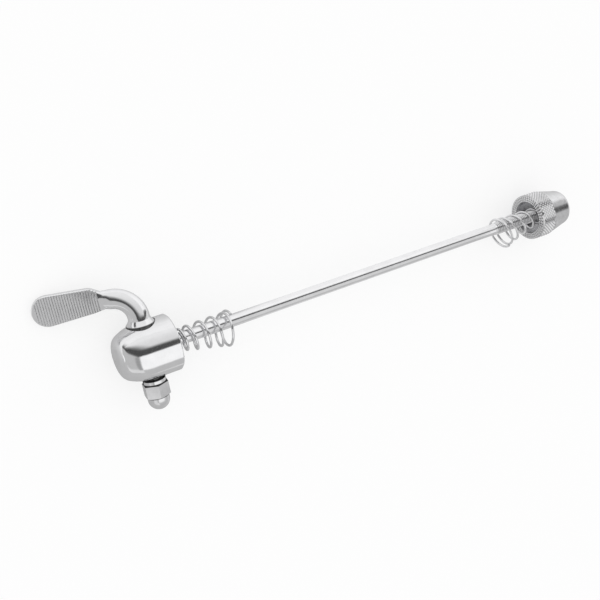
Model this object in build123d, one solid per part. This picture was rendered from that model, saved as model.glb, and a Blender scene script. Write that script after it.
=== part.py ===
from build123d import *
import os
from math import asin, atan2, cos, degrees, hypot, pi, radians, sin, tan

# Quick release skewer, in millimetres, lying on a table as it comes to rest.
# X runs along the rod from the cam housing to the adjusting nut, Y along the lever's cross shaft
# towards the lever's neck, and Z up. The origin is on the rod's axis at the housing's clamping face.

# Fit and rod
clamp_span = 159.0
shank_diameter = 4.45
thread_diameter = 5.0
thread_length = 34.6
rod_end_recess = 2.0
rod_end_chamfer = 0.5
running_clearance = 0.1
thread_clearance = 0.05

# Cam housing
housing_length = 19.7
housing_radius = 9.8
housing_rim_chamfer = 0.4
dome_length = 10.4
dome_drop = 5.6
dome_end_radius = 4.0
housing_bore_radius = 6.5
housing_end_wall = 2.7
shaft_setback = 9.1
thrust_wall = 2.9
bore_edge_break = 0.3

# Lever: cross shaft with its eccentric cam, neck and blade in one forging
journal_radius = 4.8
journal_rise = 0.1
journal_chamfer = 0.3
cam_radius = 3.4
cam_throw = 0.9
pivot_radius = 2.9
stud_length = 8.4
neck_radius = 3.6
neck_foot_height = 1.3
neck_end_width = 6.6
neck_end_thickness = 4.2
neck_end_height = 19.8
bend_radius = 8.0
bend_start_height = 11.8
blade_height = 20.75
blade_reach = 32.1
blade_root_reach = 9.0
blade_root_width = 5.2
blade_flat_reach = 11.2
blade_shoulder_reach = 13.0
blade_shoulder_width = 8.4
blade_shoulder_round = 4.0
blade_tip_width = 10.2
blade_thickness = 2.5
blade_edge_radius = 0.6

# Rod's forged eye
eye_radius = 6.2
eye_thickness = 7.0
eye_clearance = 0.3
eye_bore_clearance = 0.2
spring_shoulder_radius = 3.5
spring_shoulder_setback = 1.2

# Lock washer and acorn nut on the cross shaft's end
washer_gap = 0.3
washer_outer_diameter = 7.8
washer_thickness = 1.2
washer_slit = 0.7
washer_slit_slant = 25.0
acorn_flats = 8.0
acorn_hex_height = 5.1
acorn_height = 10.0
acorn_dome_diameter = 7.5
acorn_bearing_diameter = 7.7
acorn_end_gap = 0.4
acorn_chamfer_angle = 30.0
acorn_wrench_turn = 5.0

# Conical springs
wire_diameter = 0.9
spring_small_radius = 3.2
spring_large_radius = 6.1
lever_spring_pitches = (1.0, 2.8, 3.0, 4.7, 4.3, 4.4, 1.0)
lever_spring_end_angle = 25.0
lever_spring_sag = 2.3
lever_spring_lean = 9.0
nut_spring_pitches = (2.1, 4.7, 5.0, 5.1, 3.8, 1.5)
nut_spring_end_angle = 215.0
nut_spring_sag = 2.5
nut_spring_lean = 15.0
wire_sides = 6
wire_steps_per_turn = 14
wire_tangent_step = 0.02

# Adjusting nut
nut_length = 18.0
nut_radius = 9.4
nut_rim_radius = 9.1
nut_rim_chamfer = 0.8
nut_band_length = 7.4
nut_taper_start_radius = 9.1
nut_taper_end_radius = 7.2
nut_end_round = 2.1
nut_recess_radius = 6.5
nut_recess_depth = 7.5
nut_lead_in = 0.6

# Two places closer than this are the same place
match_gap = 1e-6

# Worked out from the driving sizes
shank_radius = shank_diameter / 2
thread_radius = thread_diameter / 2
shaft_x = -shaft_setback
bore_bottom_x = -(housing_length - housing_end_wall)
journal_top = housing_radius + journal_rise
thrust_seat_depth = housing_radius - thrust_wall
pivot_shoulder = housing_radius + washer_gap
nut_face_x = clamp_span
nut_seat_x = nut_face_x + nut_recess_depth
rod_end_x = nut_face_x + nut_length - rod_end_recess
thread_start_x = rod_end_x - thread_length
cross_bore_radius = journal_radius + running_clearance
washer_seat_y = -pivot_shoulder
acorn_seat_y = washer_seat_y - washer_thickness
cam_half_length = eye_thickness / 2 + running_clearance
cam_end_y = -(thrust_seat_depth - running_clearance)
cam_core_radius = cam_radius - cam_throw - running_clearance

# The blade's tip lies on the same table as the housing, so the lever's angle follows from both.
tip_arm = blade_reach - blade_edge_radius
tip_half = blade_thickness / 2 - blade_edge_radius
tip_drop = housing_radius - blade_edge_radius
lever_angle = asin(tip_drop / hypot(tip_arm, tip_half)) - atan2(tip_half, tip_arm)

# The rod follows the cam evenly over half a turn of the lever, from one dead centre to the other.
draw_per_radian = 2 * cam_throw / pi
eye_x = shaft_x - draw_per_radian * lever_angle


def along_x(radius, start, end):
    return Pos((start + end) / 2, 0, 0) * Rot(0, 90, 0) * Cylinder(radius, abs(end - start))


def along_y(radius, start, end, x=0.0, z=0.0):
    return Pos(x, (start + end) / 2, z) * Rot(90, 0, 0) * Cylinder(radius, abs(end - start))


def turned(outline, axis=Axis.X):
    return revolve(make_face(outline), axis)


def dome_arcs():
    """The housing's rounded end in half section: a wide arc off its side, then a tighter one to its end."""
    axial = dome_length - dome_end_radius
    radial = dome_drop - dome_end_radius
    side_radius = (axial**2 + dome_drop**2 - dome_end_radius**2) / (2 * radial)
    side_sweep = degrees(asin(axial / (side_radius - dome_end_radius)))
    side_centre = (dome_length - housing_length, housing_radius - side_radius)
    end_centre = (dome_end_radius - housing_length, housing_radius - dome_drop)
    side = CenterArc(side_centre, side_radius, 90, side_sweep)
    end = CenterArc(end_centre, dome_end_radius, 90 + side_sweep, 90 - side_sweep)
    return [side, end]


def cam_housing():
    rim = Polyline(
        (bore_bottom_x, 0),
        (bore_bottom_x, housing_bore_radius),
        (-bore_edge_break, housing_bore_radius),
        (0, housing_bore_radius + bore_edge_break),
        (0, housing_radius - housing_rim_chamfer),
        (-housing_rim_chamfer, housing_radius),
        (dome_length - housing_length, housing_radius),
    )
    end_wall = Polyline(
        (-housing_length, housing_radius - dome_drop),
        (-housing_length, 0),
        (bore_bottom_x, 0),
    )
    shell = turned([rim, *dome_arcs(), end_wall])
    journal_bore = along_y(cross_bore_radius, -thrust_seat_depth, housing_radius, shaft_x)
    pivot_bore = along_y(pivot_radius + running_clearance, -housing_radius, 0, shaft_x)
    return shell - journal_bore - pivot_bore


def blade_outline():
    tip_radius = blade_tip_width / 2
    tip_centre = blade_reach - tip_radius
    half_root = blade_root_width / 2
    half_shoulder = blade_shoulder_width / 2
    sides = Polyline(
        (-tip_centre, blade_height + tip_radius),
        (-blade_shoulder_reach, blade_height + half_shoulder),
        (-blade_root_reach, neck_end_height + half_root),
        (-blade_root_reach, neck_end_height - half_root),
        (-blade_shoulder_reach, blade_height - half_shoulder),
        (-tip_centre, blade_height - tip_radius),
    )
    tip = ThreePointArc(sides @ 1, (-blade_reach, blade_height), sides @ 0)
    outline = make_face([sides, tip])
    shoulders = outline.vertices().filter_by(lambda v: abs(v.X + blade_shoulder_reach) < match_gap)
    return fillet(shoulders, blade_shoulder_round)


def lever():
    shaft = turned(
        Polyline(
            (0, -pivot_shoulder - stud_length),
            (thread_radius, -pivot_shoulder - stud_length),
            (thread_radius, -pivot_shoulder),
            (pivot_radius, -pivot_shoulder),
            (pivot_radius, cam_end_y),
            (cam_core_radius, cam_end_y),
            (cam_core_radius, cam_half_length),
            (journal_radius, cam_half_length),
            (journal_radius, journal_top - journal_chamfer),
            (journal_radius - journal_chamfer, journal_top),
            (neck_radius, journal_top + neck_foot_height),
            (neck_radius, bend_start_height),
            (0, bend_start_height),
            close=True,
        ),
        Axis.Y,
    )
    cam = along_y(cam_radius, cam_end_y, cam_half_length, z=cam_throw)

    bend_rise = neck_end_height - bend_start_height
    bend_path = EllipticalCenterArc((-bend_radius, bend_start_height), bend_radius, bend_rise, arc_size=90)
    start_plane = Plane(origin=bend_path @ 0, x_dir=(1, 0, 0), z_dir=bend_path % 0)
    end_plane = Plane(origin=bend_path @ 1, x_dir=(0, 1, 0), z_dir=bend_path % 1)
    neck_start = start_plane * Circle(neck_radius)
    neck_end = end_plane * Ellipse(neck_end_width / 2, neck_end_thickness / 2)
    bend = sweep([neck_start, neck_end], bend_path, multisection=True)

    widening = (blade_flat_reach - blade_root_reach) / (blade_shoulder_reach - blade_root_reach)
    flat_height = neck_end_height + (blade_height - neck_end_height) * widening
    flat_width = blade_root_width + (blade_shoulder_width - blade_root_width) * widening
    flat_plane = Plane(origin=(-blade_flat_reach, flat_height, 0), x_dir=(0, 1, 0), z_dir=bend_path % 1)
    flat_end = flat_plane * Ellipse(flat_width / 2 - blade_edge_radius, blade_thickness / 2)
    flattening = loft([neck_end, flat_end])

    paddle = extrude(blade_outline(), blade_thickness / 2, both=True)
    rim_edges = paddle.edges().filter_by(
        lambda e: abs(abs(e.center().Z) - blade_thickness / 2) < match_gap
        and e.center().X < -blade_root_reach - match_gap
    )
    paddle = fillet(rim_edges, blade_edge_radius)

    straight_out = shaft + cam + bend + flattening + paddle
    return Pos(shaft_x, 0, 0) * Rot(0, -degrees(lever_angle), 0) * straight_out


def skewer_rod():
    eye_blank = along_y(eye_radius, -eye_thickness / 2, eye_thickness / 2, eye_x)
    eye_turning = along_x(housing_bore_radius - eye_bore_clearance, eye_x - eye_radius, 0)
    half_width = cam_radius + eye_clearance
    slot_length = 2 * half_width + cam_throw
    slot_outline = Rot(0, 0, 90) * SlotOverall(slot_length, 2 * half_width)
    slot = extrude(Plane.XZ * Pos(eye_x, cam_throw / 2) * slot_outline, eye_thickness, both=True)
    stem = turned(
        Polyline(
            (eye_x + half_width, 0),
            (eye_x + half_width, spring_shoulder_radius),
            (-spring_shoulder_setback, spring_shoulder_radius),
            (-spring_shoulder_setback, shank_radius),
            (thread_start_x, shank_radius),
            (thread_start_x + thread_radius - shank_radius, thread_radius),
            (rod_end_x - rod_end_chamfer, thread_radius),
            (rod_end_x, thread_radius - rod_end_chamfer),
            (rod_end_x, 0),
            close=True,
        )
    )
    return (eye_blank & eye_turning) + stem - slot


def lock_washer():
    outer = washer_outer_diameter / 2
    ring = along_y(outer, acorn_seat_y, washer_seat_y)
    hole = along_y(thread_radius + thread_clearance, acorn_seat_y, washer_seat_y)
    middle = (washer_seat_y + acorn_seat_y) / 2
    slit = Pos(-outer, middle, 0) * Rot(washer_slit_slant, 0, 0) * Box(2 * outer, 2 * outer, washer_slit)
    return Pos(shaft_x, 0, 0) * (ring - hole - slit)


def acorn_nut():
    corner = acorn_flats / 2 / cos(pi / 6)
    bearing = acorn_bearing_diameter / 2
    bevel = (corner - bearing) * tan(radians(acorn_chamfer_angle))
    dome_radius = acorn_dome_diameter / 2
    dome_centre = acorn_height - dome_radius
    body = Polyline(
        (0, 0),
        (bearing, 0),
        (corner, -bevel),
        (corner, bevel - acorn_hex_height),
        (bearing, -acorn_hex_height),
        (dome_radius, -acorn_hex_height),
        (dome_radius, -dome_centre),
    )
    dome = RadiusArc((dome_radius, -dome_centre), (0, -acorn_height), dome_radius)
    blank = turned([body, dome, Line((0, -acorn_height), (0, 0))], Axis.Y)
    hexagon = Plane.XZ * Rot(0, 0, 90) * RegularPolygon(corner, 6)
    hex_bar = extrude(hexagon, 2 * acorn_height, both=True)
    hex_zone = along_y(2 * corner, -acorn_hex_height, 0)
    hole = along_y(thread_radius + thread_clearance, washer_thickness - stud_length - acorn_end_gap, 0)
    shape = blank & (hex_bar & hex_zone) + (blank - hex_zone) - hole
    return Pos(shaft_x, acorn_seat_y, 0) * Rot(0, -acorn_wrench_turn, 0) * shape


def conical_spring(pitches, end_angle, sag, lean):
    """Coil along +X from its seat at the small end, sagging and leaning more and more to its free end."""
    turns = len(pitches)
    length = sum(pitches) + wire_diameter

    def angle(turn):
        return 2 * pi * turn + radians(end_angle)

    def wire_centre(turn):
        whole = max(0, min(int(turn), turns - 1))
        along = wire_diameter / 2 + sum(pitches[:whole]) + pitches[whole] * (turn - whole)
        widening = max(turn - 1, 0) / (turns - 1)
        radius = spring_small_radius + (spring_large_radius - spring_small_radius) * widening
        share = along / length
        across = radius * cos(angle(turn))
        tilt = tan(radians(lean)) * share
        return Vector(along + tilt * across, across - sag * share, radius * sin(angle(turn)))

    steps = turns * wire_steps_per_turn
    sections = []
    for step in range(steps + 1):
        turn = turns * step / steps
        forward = wire_centre(turn + wire_tangent_step) - wire_centre(turn - wire_tangent_step)
        forward = forward.normalized()
        outward = Vector(0, cos(angle(turn)), sin(angle(turn)))
        square = outward - forward * outward.dot(forward)
        plane = Plane(origin=wire_centre(turn), x_dir=square, z_dir=forward)
        sections.append(plane * RegularPolygon(wire_diameter / 2, wire_sides))
    return loft(sections, ruled=True)


def lever_side_spring():
    coil = conical_spring(
        lever_spring_pitches,
        lever_spring_end_angle,
        lever_spring_sag,
        lever_spring_lean,
    )
    return Pos(-spring_shoulder_setback, 0, 0) * coil


def nut_side_spring():
    coil = conical_spring(
        nut_spring_pitches,
        nut_spring_end_angle,
        nut_spring_sag,
        nut_spring_lean,
    )
    return Pos(nut_seat_x, 0, 0) * Rot(0, 180, 0) * coil


def adjusting_nut():
    bore_radius = thread_radius + thread_clearance
    body = Polyline(
        (nut_recess_depth, bore_radius + nut_lead_in),
        (nut_recess_depth, nut_recess_radius),
        (0, nut_recess_radius),
        (0, nut_rim_radius),
        (nut_rim_chamfer, nut_radius),
        (nut_band_length, nut_radius),
        (nut_band_length, nut_taper_start_radius),
        (nut_length - nut_end_round, nut_taper_end_radius),
    )
    rounded = RadiusArc(
        (nut_length - nut_end_round, nut_taper_end_radius),
        (nut_length, nut_taper_end_radius - nut_end_round),
        nut_end_round,
    )
    mouth = Polyline(
        (nut_length, nut_taper_end_radius - nut_end_round),
        (nut_length, bore_radius + nut_lead_in),
        (nut_length - nut_lead_in, bore_radius),
        (nut_recess_depth + nut_lead_in, bore_radius),
        (nut_recess_depth, bore_radius + nut_lead_in),
    )
    return Pos(nut_face_x, 0, 0) * turned([body, rounded, mouth])


os.makedirs("parts", exist_ok=True)
for make_piece in (
    cam_housing,
    lever,
    skewer_rod,
    lock_washer,
    acorn_nut,
    lever_side_spring,
    nut_side_spring,
    adjusting_nut,
):
    export_step(make_piece(), f"parts/{make_piece.__name__}.step")
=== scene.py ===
from math import asin, atan2, cos, hypot, pi, radians, sin, tan

import bmesh
import bpy
from mathutils import Matrix, Quaternion, Vector


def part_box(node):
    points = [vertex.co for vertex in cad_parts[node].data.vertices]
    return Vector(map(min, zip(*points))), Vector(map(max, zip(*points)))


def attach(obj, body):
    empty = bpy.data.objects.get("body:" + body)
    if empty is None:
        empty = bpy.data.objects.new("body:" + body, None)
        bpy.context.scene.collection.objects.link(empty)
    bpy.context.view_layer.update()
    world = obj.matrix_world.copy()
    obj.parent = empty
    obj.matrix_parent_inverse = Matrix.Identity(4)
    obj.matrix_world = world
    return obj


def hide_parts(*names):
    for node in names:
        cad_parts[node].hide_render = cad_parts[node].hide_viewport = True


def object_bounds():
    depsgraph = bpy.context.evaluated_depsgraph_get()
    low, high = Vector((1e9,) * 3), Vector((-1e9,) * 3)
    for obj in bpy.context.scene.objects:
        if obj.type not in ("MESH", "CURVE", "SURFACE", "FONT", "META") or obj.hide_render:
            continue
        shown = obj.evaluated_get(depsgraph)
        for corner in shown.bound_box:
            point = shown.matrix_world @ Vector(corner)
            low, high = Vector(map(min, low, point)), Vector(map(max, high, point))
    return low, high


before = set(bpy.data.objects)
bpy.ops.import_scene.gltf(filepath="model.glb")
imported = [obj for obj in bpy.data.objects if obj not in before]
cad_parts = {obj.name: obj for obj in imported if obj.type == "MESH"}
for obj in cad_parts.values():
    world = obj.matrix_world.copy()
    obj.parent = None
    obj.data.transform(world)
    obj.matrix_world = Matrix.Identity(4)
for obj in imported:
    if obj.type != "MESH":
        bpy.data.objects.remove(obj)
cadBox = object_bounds()
scene = bpy.context.scene
mm = 0.001  # sizes are written in millimetres, the scene is in metres
print("frame loaded:", ", ".join(sorted(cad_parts)))


class Wire:  # one socket, with the sums that are used on it
    def __init__(self, maker, socket):
        self.maker = maker
        self.socket = socket

    def out(self, label):  # another output of the same node
        return Wire(self.maker, self.socket.node.outputs[label])

    def __add__(self, other):
        return self.maker.math("ADD", self, other)

    def __radd__(self, other):
        return self.maker.math("ADD", other, self)

    def __sub__(self, other):
        return self.maker.math("SUBTRACT", self, other)

    def __rsub__(self, other):
        return self.maker.math("SUBTRACT", other, self)

    def __mul__(self, other):
        return self.maker.math("MULTIPLY", self, other)

    def __rmul__(self, other):
        return self.maker.math("MULTIPLY", other, self)

    def __truediv__(self, other):
        return self.maker.math("DIVIDE", self, other)

    def __rtruediv__(self, other):
        return self.maker.math("DIVIDE", other, self)

    def __gt__(self, other):
        return self.maker.math("GREATER_THAN", self, other)

    def __lt__(self, other):
        return self.maker.math("LESS_THAN", self, other)

    def __neg__(self):
        return self.maker.math("MULTIPLY", self, -1.0)

    def __abs__(self):
        return self.maker.math("ABSOLUTE", self)


class NodeMaker:  # adds nodes to one tree: settings first, then socket values and links
    def __init__(self, tree):
        self.tree = tree

    def node(self, kind, settings=None, sockets=None, out=0):
        made = self.tree.nodes.new(kind)
        for key, value in (settings or {}).items():
            setattr(made, key, value)
        for key, value in (sockets or {}).items():
            wires = value if isinstance(value, list) else [value]  # a list is several links to one socket
            if isinstance(wires[0], Wire):
                for wire in wires:
                    self.tree.links.new(wire.socket, made.inputs[key])
            else:
                made.inputs[key].default_value = value
        return Wire(self, made.outputs[out]) if len(made.outputs) else None

    def math(self, operation, left, right=0.0):
        return self.node("ShaderNodeMath", {"operation": operation}, {0: left, 1: right})

    def mapRange(self, value, low, high, toLow, toHigh, curve="LINEAR"):
        ends = {0: value, 1: low, 2: high, 3: toLow, 4: toHigh}
        return self.node("ShaderNodeMapRange", {"interpolation_type": curve}, ends)

    def fade(self, value, span, tones=(0.0, 1.0)):  # a soft change from one tone to the other
        return self.mapRange(value, *span, *tones, "SMOOTHSTEP")

    def blend(self, under, over, share):
        return under + (over - under) * share

    def split(self, vector):
        parts = self.node("ShaderNodeSeparateXYZ", sockets={0: vector})
        return parts, parts.out("Y"), parts.out("Z")

    def join(self, x, y, z):
        return self.node("ShaderNodeCombineXYZ", sockets={0: x, 1: y, 2: z})


# Finishes


def newMaterial(name):
    material = bpy.data.materials.new(name)
    material.use_nodes = True
    material.node_tree.nodes.clear()
    return material, NodeMaker(material.node_tree)


plating = {  # how clouds, specks and tool marks share in the tone and the wear of every finish
    "cloudDetail": 3.0,
    "speckDetail": 5.0,
    "markDetail": 2.0,
    "toneClouds": 0.6,
    "toneSpan": (0.35, 0.65),
    "wearSpecks": 0.5,
    "wearSpan": (0.3, 0.7),
}


def noise(maker, place, grain, detail):
    return maker.node("ShaderNodeTexNoise", sockets={"Vector": place, "Scale": 1 / grain, "Detail": detail})


def tinted(maker, under, over, share):
    tints = {"Factor": share, 6: under, 7: over}  # 6 and 7 are the node's colour inputs
    return maker.node("ShaderNodeMix", {"data_type": "RGBA"}, tints, out=2)


def platedMetal(finish, paintedShadeAt=None):  # the optional function gives the share of painted shade at a place
    material, maker = newMaterial(finish["name"])
    place = maker.node("ShaderNodeTexCoord", out="Object")
    cloud = noise(maker, place, finish["cloudGrain"], plating["cloudDetail"])
    speck = noise(maker, place, finish["speckGrain"], plating["speckDetail"])
    drawn = maker.node("ShaderNodeMapping", sockets={"Vector": place, "Scale": finish["markScale"]})
    marks = noise(maker, drawn, 1.0, plating["markDetail"])

    mottle = plating["toneClouds"] * cloud + (1 - plating["toneClouds"]) * speck
    tone = maker.mapRange(mottle, *plating["toneSpan"], 0.0, 1.0)
    colour = tinted(maker, (*finish["dull"], 1.0), (*finish["bright"], 1.0), tone)
    # painted shade: the colour darkens towards the finish's shade tone by the share the function gives
    if paintedShadeAt:
        colour = tinted(maker, colour, (*finish["paintedShadeTone"], 1.0), paintedShadeAt(maker, place))
    rubbed = plating["wearSpecks"] * speck + (1 - plating["wearSpecks"]) * marks
    worn = maker.mapRange(rubbed, *plating["wearSpan"], finish["smoothest"], finish["roughest"])
    skin = finish["waveDepth"] * cloud + finish["speckDepth"] * speck + finish["markDepth"] * marks
    relief = maker.node("ShaderNodeBump", sockets={"Height": skin, "Distance": 1.0, "Strength": 1.0})
    look = {"Base Color": colour, "Roughness": worn, "Normal": relief, "Metallic": 1.0}
    metal = maker.node("ShaderNodeBsdfPrincipled", sockets=look)
    maker.node("ShaderNodeOutputMaterial", sockets={"Surface": metal})
    return material


chromeFinish = {
    "name": "polishedChrome",
    "bright": (0.92, 0.92, 0.93),
    "dull": (0.86, 0.86, 0.87),
    "smoothest": 0.07,
    "roughest": 0.15,
    "cloudGrain": 3.0 * mm,
    "speckGrain": 0.35 * mm,
    "markScale": (900.0, 900.0, 900.0),  # marks to the metre along X, Y and Z
    "waveDepth": 0.012 * mm,
    "speckDepth": 0.0012 * mm,
    "markDepth": 0.0008 * mm,
    # tone of the painted shade on the lever's journal
    "paintedShadeTone": (0.10, 0.10, 0.10),
}
chrome = platedMetal(chromeFinish)
ribbedPlate = platedMetal({
    "name": "satinRibs",
    "bright": (0.94, 0.94, 0.95),
    "dull": (0.84, 0.84, 0.85),
    "smoothest": 0.20,
    "roughest": 0.34,
    "cloudGrain": 2.2 * mm,
    "speckGrain": 0.25 * mm,
    "markScale": (2500.0, 400.0, 2500.0),
    "waveDepth": 0.010 * mm,
    "speckDepth": 0.010 * mm,
    "markDepth": 0.006 * mm,
})
drawnFinish = {
    "name": "drawnRod",
    "bright": (0.94, 0.94, 0.95),
    "dull": (0.86, 0.86, 0.87),
    "smoothest": 0.12,
    "roughest": 0.24,
    "cloudGrain": 4.0 * mm,
    "speckGrain": 0.4 * mm,
    "markScale": (50.0, 4000.0, 4000.0),
    "waveDepth": 0.004 * mm,
    "speckDepth": 0.001 * mm,
    "markDepth": 0.0012 * mm,
    # tone of the painted shade in the thread's roots
    "paintedShadeTone": (0.16, 0.16, 0.16),
}
drawnRod = platedMetal(drawnFinish)
springWire = platedMetal({
    "name": "springWire",
    "bright": (0.88, 0.88, 0.89),
    "dull": (0.76, 0.76, 0.77),
    "smoothest": 0.16,
    "roughest": 0.30,
    "cloudGrain": 2.0 * mm,
    "speckGrain": 0.2 * mm,
    "markScale": (1500.0, 1500.0, 1500.0),
    "waveDepth": 0.003 * mm,
    "speckDepth": 0.001 * mm,
    "markDepth": 0.001 * mm,
})
print("finishes made")


# Ways of making a piece

weld = {  # points closer than this become one
    "nodeGap": 0.001 * mm,
    "seamGap": 0.0005 * mm,
}


def settle(piece, body, slot, *nodes):
    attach(piece, body)
    if nodes:
        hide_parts(*nodes)
    print("piece:", piece.name, len(piece.data.polygons), "faces")


def pieceFromForm(pieceName, form, material, sharpAngle=30):
    mesh = bpy.data.meshes.new(pieceName)
    form.to_mesh(mesh)
    form.free()
    mesh.materials.append(material)
    mesh.shade_smooth()
    mesh.set_sharp_from_angle(angle=radians(sharpAngle))
    piece = bpy.data.objects.new(pieceName, mesh)
    scene.collection.objects.link(piece)
    return piece


def nodeForm(nodeName):  # a CAD node's own shape, its loose triangles joined up
    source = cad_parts[nodeName].data
    form = bmesh.new()
    corners = [form.verts.new(vertex.co) for vertex in source.vertices]
    for polygon in source.polygons:
        form.faces.new([corners[i] for i in polygon.vertices])
    bmesh.ops.remove_doubles(form, verts=form.verts, dist=weld["nodeGap"])
    return form


def turnedForm(outline, segments):  # a closed outline of (along, radius), turned round the rod's axis
    form = bmesh.new()
    rings = []
    for step in range(segments):
        angle = 2 * pi * step / segments
        rings.append([form.verts.new((x, r * cos(angle), r * sin(angle))) for x, r in outline])
    for step in range(segments):
        near, far = rings[step], rings[(step + 1) % segments]
        for i in range(len(outline)):
            form.faces.new((near[i - 1], near[i], far[i], far[i - 1]))
    bmesh.ops.recalc_face_normals(form, faces=form.faces)
    return form


def arcPoints(centre, radius, startAngle, endAngle, steps):
    angles = [startAngle + (endAngle - startAngle) * i / steps for i in range(steps + 1)]
    return [(centre[0] + radius * cos(a), centre[1] + radius * sin(a)) for a in angles]


def newTree(treeName, inputs):
    tree = bpy.data.node_groups.new(treeName, "GeometryNodeTree")
    for label, kind in inputs.items():
        tree.interface.new_socket(label, in_out="INPUT", socket_type="NodeSocket" + kind)
    tree.interface.new_socket("Geometry", in_out="OUTPUT", socket_type="NodeSocketGeometry")
    maker = NodeMaker(tree)
    source = maker.node("NodeGroupInput")
    return maker, {label: source.out(label) for label in inputs}


def endTree(maker, geometry, finish):
    whole = maker.node("GeometryNodeRealizeInstances", sockets={"Geometry": geometry})
    coated = maker.node("GeometryNodeSetMaterial", sockets={"Geometry": whole, "Material": finish})
    maker.node("NodeGroupOutput", sockets={"Geometry": coated})
    return maker.tree


def wrapped(maker, geometry, place):  # moves each point to its place and closes the seam
    moved = maker.node("GeometryNodeSetPosition", sockets={"Geometry": geometry, "Position": place})
    closed = {"Geometry": moved, "Distance": weld["seamGap"]}
    return maker.node("GeometryNodeMergeByDistance", sockets=closed)


def grow(pieceName, tree, values, sharpAngle):  # runs a tree and keeps its result as a plain mesh
    piece = bpy.data.objects.new(pieceName, bpy.data.meshes.new(pieceName))
    scene.collection.objects.link(piece)
    modifier = piece.modifiers.new("grow", "NODES")
    modifier.node_group = tree
    for item in tree.interface.items_tree:
        if item.in_out == "INPUT":
            modifier[item.identifier] = values[item.name]
    depsgraph = bpy.context.evaluated_depsgraph_get()
    mesh = bpy.data.meshes.new_from_object(piece.evaluated_get(depsgraph))
    piece.modifiers.remove(modifier)
    mesh.name = pieceName
    mesh.shade_smooth()
    mesh.set_sharp_from_angle(angle=radians(sharpAngle))
    piece.data = mesh
    return piece


# Cam housing

housing = {
    "sharpAngle": 28,
    "teeth": 54,
    "toothInner": 7.0 * mm,
    "toothOuter": 9.3 * mm,
    "toothHeight": 0.18 * mm,
    "toothSeat": 0.02 * mm,
    "toothSharpAngle": 20,
}

shell = pieceFromForm("housingShell", nodeForm("cam_housing"), chrome, housing["sharpAngle"])
settle(shell, "housing", "polished_plate", "cam_housing")


def serratedRing():  # teeth on a clamping face: a strip wrapped into a ring, rising and falling round it
    maker, size = newTree("serratedRing", {
        "Face": "Float",
        "Facing": "Float",
        "Inner Radius": "Float",
        "Outer Radius": "Float",
        "Tooth Height": "Float",
        "Teeth": "Int",
        "Rows": "Int",
        "Finish": "Material",
    })
    steps = size["Rows"] * 2.0 + 2.0
    counts = {"Size X": steps, "Vertices X": steps + 1.0, "Vertices Y": size["Teeth"] * 2.0 + 1.0}
    strip = maker.node("GeometryNodeMeshGrid", sockets={**counts, "Size Y": 1.0})
    across, turn = maker.split(maker.node("GeometryNodeInputPosition"))[:2]
    row = across + steps / 2.0
    inside = maker.mapRange(row, 1.0, steps - 1.0, 0.0, 1.0)
    radius = size["Inner Radius"] + (size["Outer Radius"] - size["Inner Radius"]) * inside
    onFace = (row > 0.5) * (row < steps - 0.5)
    crest = 1.0 - abs(1.0 - 2.0 * maker.math("FRACT", (turn + 0.5) * size["Teeth"]))
    bump = 1.0 - abs(1.0 - 2.0 * maker.math("FRACT", (row - 1.0) / 2.0))
    ridged = size["Rows"] < 1.5  # one row is plain ridges, more are rows of bumps
    height = size["Tooth Height"] * onFace * crest * (ridged + (1.0 - ridged) * bump)
    angle = turn * (2 * pi) * size["Facing"]
    place = maker.join(
        size["Face"] + height * size["Facing"],
        radius * maker.math("COSINE", angle),
        radius * maker.math("SINE", angle),
    )
    return endTree(maker, wrapped(maker, strip, place), size["Finish"])


ringTree = serratedRing()
teeth = grow("housingTeeth", ringTree, {
    "Face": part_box("cam_housing")[1].x - housing["toothSeat"],
    "Facing": 1.0,
    "Inner Radius": housing["toothInner"],
    "Outer Radius": housing["toothOuter"],
    "Tooth Height": housing["toothHeight"],
    "Teeth": housing["teeth"],
    "Rows": 1,
    "Finish": chrome,
}, housing["toothSharpAngle"])
settle(teeth, "housing", "polished_plate")

# Lever

lever = {
    "sharpAngle": 28,
    "shaftSetback": 9.1 * mm,
    "journalEdge": (9.55 * mm, 9.85 * mm),
    "reach": 32.1 * mm,
    "rootMiddle": 19.8 * mm,
    "middle": 20.75 * mm,
    "tipWidth": 10.2 * mm,
    "rootReach": 9.0 * mm,
    "rootWidth": 5.2 * mm,
    "shoulderReach": 13.0 * mm,
    "shoulderWidth": 8.4 * mm,
    "thickness": 2.5 * mm,
    "edge": 0.6 * mm,
    "ribCount": 25,
    "firstRib": 11.4 * mm,
    "ribPitch": 0.8 * mm,
    "ribRadius": 0.55 * mm,
    "ribSink": 0.46 * mm,
    "ribMargin": 0.25 * mm,
    "ribSides": 24,
    "ribSharpAngle": 50,
}


def journalPaintedShade(maker, place):  # painted shade: the journal is darkened inside its bore, up to the housing's edge
    across = maker.split(place)[1]
    return maker.fade(across, lever["journalEdge"], (1.0, 0.0))


leverChrome = platedMetal({**chromeFinish, "name": "leverChrome"}, journalPaintedShade)
forging = pieceFromForm("leverForging", nodeForm("lever"), leverChrome, lever["sharpAngle"])
settle(forging, "lever_assembly", "polished_plate", "lever")


def leverTurn():  # the lever is laid out level, then turned down until its tip meets the table
    arm = lever["reach"] - lever["edge"]
    half = lever["thickness"] / 2 - lever["edge"]
    drop = -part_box("cam_housing")[0].z - lever["edge"]
    angle = asin(drop / hypot(arm, half)) - atan2(half, arm)
    return Matrix.Translation((-lever["shaftSetback"], 0, 0)) @ Matrix.Rotation(-angle, 4, "Y")


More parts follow.
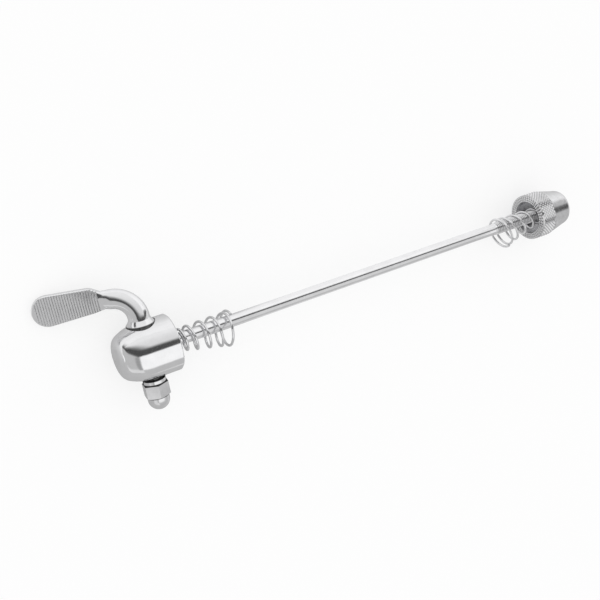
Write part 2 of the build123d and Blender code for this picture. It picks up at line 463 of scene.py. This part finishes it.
def ribbedBlade():  # ribs across the blade's upper face, each as long as the blade is wide there
    maker, size = newTree("ribbedBlade", {
        "First Rib": "Float",
        "Pitch": "Float",
        "Ribs": "Int",
        "Rib Radius": "Float",
        "Rib Sides": "Int",
        "Rib Height": "Float",
        "Root Reach": "Float",
        "Root Half": "Float",
        "Root Middle": "Float",
        "Shoulder Reach": "Float",
        "Shoulder Half": "Float",
        "Tip Radius": "Float",
        "Tip Centre": "Float",
        "Margin": "Float",
        "Blade Middle": "Float",
        "Finish": "Material",
    })
    start = maker.join(-size["First Rib"], 0.0, size["Rib Height"])
    step = maker.join(-size["Pitch"], 0.0, 0.0)
    line = {"Count": size["Ribs"], "Start Location": start, "Offset": step}
    row = maker.node("GeometryNodeMeshLine", sockets=line)
    rod = {"Vertices": size["Rib Sides"], "Radius": size["Rib Radius"], "Depth": 2.0}
    bar = maker.node("GeometryNodeMeshCylinder", sockets=rod)
    reach = -maker.split(maker.node("GeometryNodeInputPosition"))[0]
    nearRoot = maker.mapRange(reach, size["Root Reach"], size["Shoulder Reach"], 1.0, 0.0)
    nearTip = maker.mapRange(reach, size["Shoulder Reach"], size["Tip Centre"], 0.0, 1.0)
    narrowing = (size["Shoulder Half"] - size["Root Half"]) * nearRoot
    widening = (size["Tip Radius"] - size["Shoulder Half"]) * nearTip
    pastCentre = reach + size["Rib Radius"] / 2.0 - size["Tip Centre"]
    past = maker.math("MAXIMUM", pastCentre, 0.0) / size["Tip Radius"]
    rounded = maker.math("SQRT", 1.0 - past * past)
    half = (size["Shoulder Half"] - narrowing + widening) * rounded - size["Margin"]
    middle = size["Blade Middle"] - (size["Blade Middle"] - size["Root Middle"]) * nearRoot
    across = maker.join(0.0, middle, 0.0)
    centred = maker.node("GeometryNodeSetPosition", sockets={"Geometry": row, "Offset": across})
    stretch = maker.join(1.0, 1.0, half)
    laid = {"Points": centred, "Instance": bar, "Rotation": (pi / 2, 0, 0), "Scale": stretch}
    ribs = maker.node("GeometryNodeInstanceOnPoints", sockets=laid)
    return endTree(maker, ribs, size["Finish"])


ribs = grow("bladeRibs", ribbedBlade(), {
    "First Rib": lever["firstRib"],
    "Pitch": lever["ribPitch"],
    "Ribs": lever["ribCount"],
    "Rib Radius": lever["ribRadius"],
    "Rib Sides": lever["ribSides"],
    "Rib Height": lever["thickness"] / 2 - lever["ribSink"],
    "Root Reach": lever["rootReach"],
    "Root Half": lever["rootWidth"] / 2,
    "Root Middle": lever["rootMiddle"],
    "Shoulder Reach": lever["shoulderReach"],
    "Shoulder Half": lever["shoulderWidth"] / 2,
    "Tip Radius": lever["tipWidth"] / 2,
    "Tip Centre": lever["reach"] - lever["tipWidth"] / 2,
    "Margin": lever["ribMargin"],
    "Blade Middle": lever["middle"],
    "Finish": ribbedPlate,
}, lever["ribSharpAngle"])
ribs.data.transform(leverTurn())
settle(ribs, "lever_assembly", "polished_plate")

# Lock washer and acorn nut

fastener = {
    "sharpAngle": 24,
    "seam": 0.35 * mm,
    "hexHeight": 5.1 * mm,
    "stepSeam": 0.15 * mm,
    # how dark the painted shade under the hexagon is
    "stepPaintedShade": 0.7,
}
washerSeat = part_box("lock_washer")[1].y
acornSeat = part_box("acorn_nut")[1].y


def seamPaintedShade(maker, place):  # painted shade above the washer, on the acorn nut's first bevel and under its hexagon
    across = maker.split(place)[1]
    half = fastener["seam"] / 2
    above = maker.fade(across, (washerSeat - half, washerSeat))
    bevel = maker.fade(abs(across - (acornSeat - half)), (half, 2 * half), (1.0, 0.0))
    offStep = abs(across - (acornSeat - fastener["hexHeight"]))
    stepSpan = (fastener["stepSeam"], 2 * fastener["stepSeam"])
    step = maker.fade(offStep, stepSpan, (fastener["stepPaintedShade"], 0.0))
    return maker.math("MAXIMUM", above, maker.math("MAXIMUM", bevel, step))


zincFastener = platedMetal({
    "name": "satinZinc",
    "bright": (0.88, 0.88, 0.89),
    "dull": (0.80, 0.80, 0.81),
    "smoothest": 0.10,
    "roughest": 0.20,
    "cloudGrain": 1.8 * mm,
    "speckGrain": 0.22 * mm,
    "markScale": (700.0, 3000.0, 700.0),
    "waveDepth": 0.008 * mm,
    "speckDepth": 0.002 * mm,
    "markDepth": 0.001 * mm,
    # tone of the painted shade in the washer's and the acorn nut's seams
    "paintedShadeTone": (0.06, 0.06, 0.06),
}, seamPaintedShade)
for nodeName, pieceName in (("lock_washer", "lockWasher"), ("acorn_nut", "acornNut")):
    piece = pieceFromForm(pieceName, nodeForm(nodeName), zincFastener, fastener["sharpAngle"])
    settle(piece, "lever_assembly", "zinc_fastener", nodeName)

# Rod: the forged eye and drawn shank, then the rolled thread

rod = {
    "sharpAngle": 28,
    "shankRadius": 2.225 * mm,
    "threadLength": 34.6 * mm,
    "threadRadius": 2.5 * mm,
    "threadPitch": 0.8 * mm,
    "threadDepth": 0.46 * mm,
    "threadFlat": 0.18,
    "runout": 1.2 * mm,
    "endChamfer": 0.5 * mm,
    # how dark the painted shade in the thread's roots is
    "threadRootShade": 0.8,
    "samplesPerPitch": 8,
    "sides": 48,
    "threadSharpAngle": 60,
}
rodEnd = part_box("skewer_rod")[1].x
threadStart = rodEnd - rod["threadLength"]

shankForm = nodeForm("skewer_rod")
cut = bmesh.ops.bisect_plane(
    shankForm,
    geom=shankForm.verts[:] + shankForm.edges[:] + shankForm.faces[:],
    plane_co=(threadStart, 0, 0),
    plane_no=(1, 0, 0),
    clear_outer=True,
)
rimEdges = [item for item in cut["geom_cut"] if isinstance(item, bmesh.types.BMEdge)]
bmesh.ops.contextual_create(shankForm, geom=rimEdges)
shank = pieceFromForm("rodShank", shankForm, drawnRod, rod["sharpAngle"])
settle(shank, "draw_rod", "bright_rod", "skewer_rod")


def rolledThread():  # a strip wrapped round the rod, its radius following a right-hand helix
    maker, size = newTree("rolledThread", {
        "Start": "Float",
        "Length": "Float",
        "Pitch": "Float",
        "Crest Radius": "Float",
        "Blank Radius": "Float",
        "Depth": "Float",
        "Flat": "Float",
        "Runout": "Float",
        "Chamfer": "Float",
        "Samples Per Pitch": "Int",
        "Sides": "Int",
        "Finish": "Material",
    })
    steps = maker.math("CEIL", size["Length"] / size["Pitch"] * size["Samples Per Pitch"])
    counts = {"Size X": steps + 2.0, "Vertices X": steps + 3.0, "Vertices Y": size["Sides"] + 1.0}
    strip = maker.node("GeometryNodeMeshGrid", sockets={**counts, "Size Y": 2 * pi})
    across, around = maker.split(maker.node("GeometryNodeInputPosition"))[:2]
    row = across + steps / 2.0
    along = maker.mapRange(row, 0.0, steps, 0.0, size["Length"])
    angle = -around
    phase = maker.math("FRACT", along / size["Pitch"] - angle / (2 * pi))
    flank = maker.mapRange(abs(2.0 * phase - 1.0), size["Flat"], 1.0 - size["Flat"], 0.0, 1.0)
    cutRadius = size["Crest Radius"] - size["Depth"] * (1.0 - flank)
    rise = maker.mapRange(along, 0.0, size["Runout"], 0.0, 1.0)
    blended = size["Blank Radius"] + (cutRadius - size["Blank Radius"]) * rise
    nose = size["Crest Radius"] - size["Chamfer"] + size["Length"] - along
    closing = (row > -0.5) * (row < steps + 0.5)
    radius = maker.math("MINIMUM", blended, nose) * closing
    place = maker.join(
        size["Start"] + along,
        radius * maker.math("COSINE", angle),
        radius * maker.math("SINE", angle),
    )
    return endTree(maker, wrapped(maker, strip, place), size["Finish"])


def threadPaintedShade(maker, place):  # painted shade in the thread's roots
    x, y, z = maker.split(place)
    sunk = rod["threadRadius"] - maker.math("SQRT", y * y + z * z)
    rootShade = maker.fade(sunk, (0.0, rod["threadDepth"]), (0.0, rod["threadRootShade"]))
    return rootShade * (x > threadStart + rod["runout"])


threadSteel = platedMetal({**drawnFinish, "name": "threadSteel"}, threadPaintedShade)
thread = grow("rodThread", rolledThread(), {
    "Start": threadStart,
    "Length": rod["threadLength"],
    "Pitch": rod["threadPitch"],
    "Crest Radius": rod["threadRadius"],
    "Blank Radius": rod["shankRadius"],
    "Depth": rod["threadDepth"],
    "Flat": rod["threadFlat"],
    "Runout": rod["runout"],
    "Chamfer": rod["endChamfer"],
    "Samples Per Pitch": rod["samplesPerPitch"],
    "Sides": rod["sides"],
    "Finish": threadSteel,
}, rod["threadSharpAngle"])
settle(thread, "draw_rod", "bright_rod")

# Conical springs

coil = {
    "wireRadius": 0.45 * mm,
    "wireSides": 14,
    "stepsPerTurn": 64,
    "smallRadius": 3.2 * mm,
    "largeRadius": 6.1 * mm,
    "sharpAngle": 100,  # over a right angle, so that the cut ends look rubbed round
}
leverCoil = {
    "pitches": [pitch * mm for pitch in (1.0, 2.8, 3.0, 4.7, 4.3, 4.4, 1.0)],
    "endAngle": radians(25),
    "sag": 2.3 * mm,
    "lean": radians(9),
}
nutCoil = {
    "pitches": [pitch * mm for pitch in (2.1, 4.7, 5.0, 5.1, 3.8, 1.5)],
    "endAngle": radians(215),
    "sag": 2.5 * mm,
    "lean": radians(15),
}


def coilPoint(shape, turn):  # the wire's middle, from its seat at the small end towards its free end
    pitches = shape["pitches"]
    whole = min(int(turn), len(pitches) - 1)
    along = coil["wireRadius"] + sum(pitches[:whole]) + pitches[whole] * (turn - whole)
    share = along / (sum(pitches) + 2 * coil["wireRadius"])
    widening = max(turn - 1, 0) / (len(pitches) - 1)
    radius = coil["smallRadius"] + (coil["largeRadius"] - coil["smallRadius"]) * widening
    angle = 2 * pi * turn + shape["endAngle"]
    across = radius * cos(angle)
    tilt = tan(shape["lean"]) * share
    return Vector((along + tilt * across, across - shape["sag"] * share, radius * sin(angle)))


def coilPath(pathName, shape):
    curve = bpy.data.curves.new(pathName, "CURVE")
    curve.dimensions = "3D"
    line = curve.splines.new("POLY")
    turns = len(shape["pitches"])
    steps = turns * coil["stepsPerTurn"]
    line.points.add(steps)
    for step, point in enumerate(line.points):
        point.co = (*coilPoint(shape, turns * step / steps), 1.0)
    path = bpy.data.objects.new(pathName, curve)
    scene.collection.objects.link(path)
    return path


def coiledWire():  # a round wire drawn along a path, closed at both ends
    maker, size = newTree("coiledWire", {
        "Path": "Object",
        "Wire Radius": "Float",
        "Wire Sides": "Int",
        "Finish": "Material",
    })
    path = maker.node("GeometryNodeObjectInfo", sockets={"Object": size["Path"]}, out="Geometry")
    ring = {"Resolution": size["Wire Sides"], "Radius": size["Wire Radius"]}
    section = maker.node("GeometryNodeCurvePrimitiveCircle", sockets=ring)
    sweep = {"Curve": path, "Profile Curve": section, "Fill Caps": True}
    wire = maker.node("GeometryNodeCurveToMesh", sockets=sweep)
    return endTree(maker, wire, size["Finish"])


wireTree = coiledWire()
seats = {
    "leverSideCoil": Matrix.Translation((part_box("lever_side_spring")[0].x, 0, 0)),
    "nutSideCoil": Matrix.Translation((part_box("nut_side_spring")[1].x, 0, 0)) @ Matrix.Rotation(pi, 4, "Y"),
}
for pieceName, shape, body, nodeName in (
    ("leverSideCoil", leverCoil, "draw_rod", "lever_side_spring"),
    ("nutSideCoil", nutCoil, "spring_carriage", "nut_side_spring"),
):
    path = coilPath(pieceName + "Path", shape)
    spring = grow(pieceName, wireTree, {
        "Path": path,
        "Wire Radius": coil["wireRadius"],
        "Wire Sides": coil["wireSides"],
        "Finish": springWire,
    }, coil["sharpAngle"])
    bpy.data.objects.remove(path)
    spring.data.transform(seats[pieceName])
    settle(spring, body, "spring_wire", nodeName)

# Adjusting nut

nut = {
    "sharpAngle": 24,
    "segments": 160,
    "faceDepth": 0.3 * mm,
    "toothSeat": 0.04 * mm,
    "recessRadius": 6.5 * mm,
    "recessDepth": 7.5 * mm,
    "boreRadius": 2.55 * mm,
    "leadIn": 0.6 * mm,
    "rimRadius": 9.1 * mm,
    "rimChamfer": 0.8 * mm,
    "bandLength": 7.4 * mm,
    "knurlDepth": 0.34 * mm,
    "taperStart": 9.1 * mm,
    "taperEnd": 7.2 * mm,
    "endRound": 2.1 * mm,
    "roundSteps": 10,
    "knurlTeeth": 44,
    "knurlRows": 5,
    "knurlSharpAngle": 10,
    "rimTeeth": 46,
    "rimRows": 3,
    "rimSharpAngle": 5,
    # painted shade in the nut's hollows: how dark it is and where it lies
    "knurlPaintedShade": 0.32,
    "knurlShadeTop": 0.45,  # of the knurl's depth, and a little under its root
    "knurlShadeFoot": -0.2,
    "facePaintedShade": 0.65,
    "faceShadeSpan": (0.55, 0.9),  # of the face's depth
    "recessPaintedShade": 0.18,
}
nutLow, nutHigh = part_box("adjusting_nut")
nutFace = nutLow.x
nutLength = nutHigh.x - nutLow.x
nutRadius = (nutHigh.z - nutLow.z) / 2
rootRadius = nutRadius - nut["knurlDepth"]


def nutPaintedShade(maker, place):  # painted shade in the knurl's and the face's hollows, and down in the recess
    x, y, z = maker.split(place)
    along = x - nutFace
    radius = maker.math("SQRT", y * y + z * z)
    height = (radius - rootRadius) / nut["knurlDepth"]
    band = (height > nut["knurlShadeFoot"]) * (along > nut["rimChamfer"]) * (along < nut["bandLength"])
    knurl = band * maker.fade(height, (0.0, nut["knurlShadeTop"]), (nut["knurlPaintedShade"], 0.0))
    faceEnd = nut["faceDepth"] + nut["toothSeat"]
    face = (radius > nut["recessRadius"]) * (along < faceEnd)
    hollows = [share * nut["faceDepth"] for share in nut["faceShadeSpan"]]
    stipple = face * maker.fade(along, hollows, (0.0, nut["facePaintedShade"]))
    hollow = (radius < nut["recessRadius"] + nut["toothSeat"]) * (along > faceEnd)
    recess = hollow * maker.fade(along, (0.0, nut["recessDepth"]), (0.0, nut["recessPaintedShade"]))
    return maker.math("MAXIMUM", recess, maker.math("MAXIMUM", knurl, stipple))


knurledPlate = platedMetal({
    "name": "satinNut",
    "bright": (0.88, 0.88, 0.89),
    "dull": (0.76, 0.76, 0.77),
    "smoothest": 0.14,
    "roughest": 0.28,
    "cloudGrain": 2.5 * mm,
    "speckGrain": 0.3 * mm,
    "markScale": (5000.0, 60.0, 60.0),
    "waveDepth": 0.006 * mm,
    "speckDepth": 0.0015 * mm,
    "markDepth": 0.0012 * mm,
    # tone of the painted shade in the nut's hollows
    "paintedShadeTone": (0.10, 0.10, 0.10),
}, nutPaintedShade)


def nutOutline():
    roundCentre = (nutLength - nut["endRound"], nut["taperEnd"] - nut["endRound"])
    outline = [
        (nut["recessDepth"], nut["recessRadius"]),
        (nut["faceDepth"], nut["recessRadius"]),
        (nut["faceDepth"], nut["rimRadius"]),
        (nut["rimChamfer"], rootRadius),
        (nut["bandLength"], rootRadius),
        (nut["bandLength"], nut["taperStart"]),
        *arcPoints(roundCentre, nut["endRound"], pi / 2, 0, nut["roundSteps"]),
        (nutLength, nut["boreRadius"] + nut["leadIn"]),
        (nutLength - nut["leadIn"], nut["boreRadius"]),
        (nut["recessDepth"] + nut["leadIn"], nut["boreRadius"]),
        (nut["recessDepth"], nut["boreRadius"] + nut["leadIn"]),
    ]
    return [(nutFace + x, r) for x, r in outline]


turned = turnedForm(nutOutline(), nut["segments"])
nutBody = pieceFromForm("nutBody", turned, knurledPlate, nut["sharpAngle"])
settle(nutBody, "clamp_nut", "satin_plate", "adjusting_nut")

rim = grow("nutTeeth", ringTree, {
    "Face": nutFace + nut["faceDepth"] - nut["toothSeat"],
    "Facing": -1.0,
    "Inner Radius": nut["recessRadius"],
    "Outer Radius": nut["rimRadius"],
    "Tooth Height": nut["faceDepth"] - nut["toothSeat"],
    "Teeth": nut["rimTeeth"],
    "Rows": nut["rimRows"],
    "Finish": knurledPlate,
}, nut["rimSharpAngle"])
settle(rim, "clamp_nut", "satin_plate")


def knurledBand():  # rows of small pyramids with rows half a tooth on between them, wrapped round the nut
    maker, size = newTree("knurledBand", {
        "Start": "Float",
        "End": "Float",
        "Root Radius": "Float",
        "Depth": "Float",
        "Teeth": "Int",
        "Rows": "Int",
        "Finish": "Material",
    })
    pitchAround = 2 * pi * size["Root Radius"] / size["Teeth"]
    pitchAlong = (size["End"] - size["Start"]) / size["Rows"]
    pyramid = {"Vertices": 4, "Radius Top": 0.0, "Radius Bottom": 0.5, "Depth": 1.0}  # one unit each way
    tooth = maker.node("GeometryNodeMeshCone", {"fill_type": "NONE"}, pyramid)
    rows = []
    for shift, fewer in ((0.0, 0.0), (0.5, 1.0)):
        count = size["Rows"] - fewer
        spread = {
            "Size X": pitchAlong * (count - 1.0),
            "Size Y": pitchAround * (size["Teeth"] - 1.0),
            "Vertices X": count,
            "Vertices Y": size["Teeth"],
        }
        grid = maker.node("GeometryNodeMeshGrid", sockets=spread)
        lift = maker.join((size["Start"] + size["End"]) / 2.0, pitchAround * shift, 0.0)
        rows.append(maker.node("GeometryNodeTransform", sockets={"Geometry": grid, "Translation": lift}))
    lattice = maker.node("GeometryNodeJoinGeometry", sockets={"Geometry": rows})
    stretch = maker.join(pitchAlong, pitchAround, size["Depth"])
    stand = {"Points": lattice, "Instance": tooth, "Scale": stretch}
    teeth = maker.node("GeometryNodeInstanceOnPoints", sockets=stand)
    sheet = maker.node("GeometryNodeRealizeInstances", sockets={"Geometry": teeth})
    along, around, height = maker.split(maker.node("GeometryNodeInputPosition"))
    angle = -around / size["Root Radius"]
    radius = size["Root Radius"] + height
    place = maker.join(along, radius * maker.math("COSINE", angle), radius * maker.math("SINE", angle))
    return endTree(maker, wrapped(maker, sheet, place), size["Finish"])


knurl = grow("nutKnurl", knurledBand(), {
    "Start": nutFace + nut["rimChamfer"],
    "End": nutFace + nut["bandLength"],
    "Root Radius": rootRadius,
    "Depth": nut["knurlDepth"],
    "Teeth": nut["knurlTeeth"],
    "Rows": nut["knurlRows"],
    "Finish": knurledPlate,
}, nut["knurlSharpAngle"])
settle(knurl, "clamp_nut", "satin_plate")

# Studio: pale floor, white surround, and a light box and a tent of tones that only reflections see

floor = {
    "size": 6000 * mm,
    "colour": (0.95, 0.95, 0.95),
    "glow": 0.72,
    "mirrorShare": 0.55,
    "mirrorTone": (0.16, 0.88),  # from one side of the rod to the other, as metal shows it
    "mirrorSides": (-20 * mm, 60 * mm),
    "farTone": 0.80,
    "farReach": (-600 * mm, -1100 * mm),
    "rodTone": (0.55, 0.95),  # the same under the rod
    "rodSides": (-4 * mm, 4 * mm),
    "rodStart": (25 * mm, 50 * mm),
    "rodEnd": (152 * mm, 166 * mm),
}
lightBox = {  # hung close above the part: white, a dark slit over the rod, then a paler fill
    "height": 26 * mm,
    "corners": (-90 * mm, -60 * mm, 260 * mm, 75 * mm),
    "roomTone": 0.53,
    "cornerTone": 0.75,
    "cornerSpan": (-20 * mm, -34 * mm),
    "slitTone": (0.075, 0.095),
    "slitFade": (-5 * mm, 15 * mm),
    "slitShift": 8 * mm,
    "slitLow": (1.5 * mm, 3.5 * mm),
    "slitHigh": (9.0 * mm, 15.0 * mm),
    "slitNarrow": 0.85,
    "rodStart": (10 * mm, 22 * mm),
    "rodEnd": (152 * mm, 164 * mm),
    "rodSlit": 1.3,
    "rodFill": 1.0,
    "rodWhite": 0.69,
    "armNear": (-22 * mm, -17 * mm),
    "armFar": (-10 * mm, 10 * mm),
    "fillTone": (0.73, 0.88),
    "fillSpan": (12 * mm, 45 * mm),
    "whiteTone": 1.0,
    "whiteStart": (-21.5 * mm, -19.5 * mm),
    "whiteEnd": (-36 * mm, -26 * mm),
    "frameTone": 0.34,
    "frameStart": (-27 * mm, -24.5 * mm),
    "farEnd": (180 * mm, 205 * mm),
    "farTone": 0.50,
}
tent = {  # the room beyond it: pale on the fill's side, grey on the other, a dark stand between
    "radius": 550 * mm,
    "ends": (-2800 * mm, 1400 * mm),
    "sides": 48,
    "span": (radians(-10), radians(190)),
    "paleTone": 0.95,
    "roomTone": 0.53,
    "turnOver": (radians(70), radians(110)),
    "standSlope": 1.07,
    "standNear": (-120 * mm, -45 * mm),
    "standFar": (80 * mm, 300 * mm),
    "standTone": 0.095,
}


def studioFloor():
    material, maker = newMaterial("paleFloor")
    x, y = maker.split(maker.node("ShaderNodeTexCoord", out="Object"))[:2]
    paint = maker.node("ShaderNodeBsdfDiffuse", sockets={"Color": (*floor["colour"], 1.0)})
    seen = maker.node("ShaderNodeLightPath", out="Is Camera Ray")
    mirrored = seen.out("Is Glossy Ray")
    near = maker.fade(y, floor["mirrorSides"], floor["mirrorTone"])
    far = maker.fade(x, floor["farReach"], (0.0, floor["farTone"]))
    underRod = maker.fade(x, floor["rodStart"]) * maker.fade(x, floor["rodEnd"], (1.0, 0.0))
    near = maker.blend(near, maker.fade(y, floor["rodSides"], floor["rodTone"]), underRod)
    tone = maker.math("MAXIMUM", near, far)
    glow = maker.node("ShaderNodeEmission", sockets={"Color": 1.0 - mirrored * (1.0 - tone)})
    direct = seen + seen.out("Is Transmission Ray")
    share = direct * floor["glow"] + mirrored * floor["mirrorShare"]
    both = maker.node("ShaderNodeMixShader", sockets={0: share, 1: paint, 2: glow})
    maker.node("ShaderNodeOutputMaterial", sockets={"Surface": both})
    material.cycles.emission_sampling = "NONE"
    form = bmesh.new()
    bmesh.ops.create_grid(form, x_segments=1, y_segments=1, size=floor["size"] / 2)
    bmesh.ops.translate(form, verts=form.verts, vec=(0, 0, cadBox[0].z))
    pieceFromForm("studioFloor", form, material)


def lightBoxTone(maker):
    x, y = maker.split(maker.node("ShaderNodeTexCoord", out="Object"))[:2]
    overRod = maker.fade(x, lightBox["rodStart"]) * maker.fade(x, lightBox["rodEnd"], (1.0, 0.0))
    slim = maker.fade(x, lightBox["slitFade"], (1.0, lightBox["slitNarrow"]))
    slitSide = y / maker.blend(slim, lightBox["rodSlit"], overRod)
    dark = maker.fade(x, lightBox["slitFade"], lightBox["slitTone"])
    fill = maker.fade(y, lightBox["fillSpan"], lightBox["fillTone"])
    pale = maker.blend(fill, lightBox["rodFill"], overRod)
    offSlit = maker.fade(slitSide, lightBox["slitHigh"])
    offArm = maker.fade(x + y, lightBox["armFar"])
    inside = maker.fade(x + y, lightBox["armNear"])
    ended = maker.fade(x, lightBox["farEnd"])
    grey = maker.blend(lightBox["roomTone"], lightBox["farTone"], ended)
    upper = maker.blend(dark, maker.blend(pale, grey, ended), offSlit * offArm)
    upper = maker.blend(grey, upper, inside)

    white = maker.fade(x, lightBox["whiteStart"])
    bright = maker.blend(lightBox["whiteTone"], lightBox["rodWhite"], overRod)
    border = maker.blend(lightBox["frameTone"], bright, white)
    lit = maker.fade(x, lightBox["frameStart"]) * maker.fade(y, lightBox["whiteEnd"]) * (1.0 - ended)
    corner = maker.fade(y, lightBox["cornerSpan"]) * (1.0 - white)
    lower = maker.blend(maker.blend(grey, lightBox["cornerTone"], corner), border, lit)
    return maker.blend(lower, upper, maker.fade(y + lightBox["slitShift"] * ended, lightBox["slitLow"]))


def tentTone(maker):
    x, y, z = maker.split(maker.node("ShaderNodeTexCoord", out="Object"))
    aside = x + tent["standSlope"] * y
    near = maker.fade(aside, tent["standNear"])
    over = maker.fade(maker.math("ARCTAN2", z, y), tent["turnOver"])
    tone = maker.blend(tent["roomTone"], tent["paleTone"], near * (1.0 - over))
    onStand = near * maker.fade(aside, tent["standFar"], (1.0, 0.0)) * (1.0 - over)
    return maker.blend(tone, tent["standTone"], onStand)


def glowing(name, toneOf):
    material, maker = newMaterial(name)
    light = maker.node("ShaderNodeEmission", sockets={"Color": toneOf(maker)})
    maker.node("ShaderNodeOutputMaterial", sockets={"Surface": light})
    material.cycles.emission_sampling = "NONE"
    return material


def onlyMirrored(backdrop):  # metal shows it, and nothing else does
    backdrop.visible_camera = False
    backdrop.visible_diffuse = False
    backdrop.visible_shadow = False
    backdrop.visible_transmission = False


def studioLightBox():
    left, near, right, far = lightBox["corners"]
    form = bmesh.new()
    corners = ((left, near), (left, far), (right, far), (right, near))
    form.faces.new([form.verts.new((x, y, lightBox["height"])) for x, y in corners])
    onlyMirrored(pieceFromForm("studioLightBox", form, glowing("lightBoxTones", lightBoxTone)))


def studioTent():
    form = bmesh.new()
    low, high = tent["span"]
    rows = []
    for step in range(tent["sides"] + 1):
        turn = low + (high - low) * step / tent["sides"]
        y, z = tent["radius"] * cos(turn), tent["radius"] * sin(turn)
        rows.append([form.verts.new((x, y, z)) for x in tent["ends"]])
    for near, far in zip(rows, rows[1:]):
        form.faces.new((near[0], near[1], far[1], far[0]))
    onlyMirrored(pieceFromForm("studioTent", form, glowing("tentTones", tentTone)))


def studioWorld():
    world = bpy.data.worlds.new("whiteSurround")
    world.use_nodes = True
    world.node_tree.nodes.clear()
    maker = NodeMaker(world.node_tree)
    white = maker.node("ShaderNodeBackground", sockets={"Color": (1.0, 1.0, 1.0, 1.0), "Strength": 1.0})
    maker.node("ShaderNodeOutputWorld", sockets={"Surface": white})
    scene.world = world


studioFloor()
studioLightBox()
studioTent()
studioWorld()
print("studio set")

# Camera, at the photograph's view

view = {
    "place": Vector((-82.63, 95.64, 265.38)) * mm,
    "aim": Vector((49.62, -1.17, 0.0)) * mm,
    "roll": radians(111.41),
    "lens": 52.23,
    "sensor": 36.0,
    "clipStart": 10 * mm,
}
lens = bpy.data.cameras.new("photoView")
lens.lens = view["lens"]
lens.sensor_width = view["sensor"]
lens.clip_start = view["clipStart"]
camera = bpy.data.objects.new("photoView", lens)
camera.location = view["place"]
level = (view["aim"] - view["place"]).to_track_quat("-Z", "Y")
camera.rotation_mode = "QUATERNION"
camera.rotation_quaternion = level @ Quaternion((0, 0, 1), view["roll"])
scene.collection.objects.link(camera)
scene.camera = camera
scene.view_settings.view_transform = "Standard"
print("camera set")
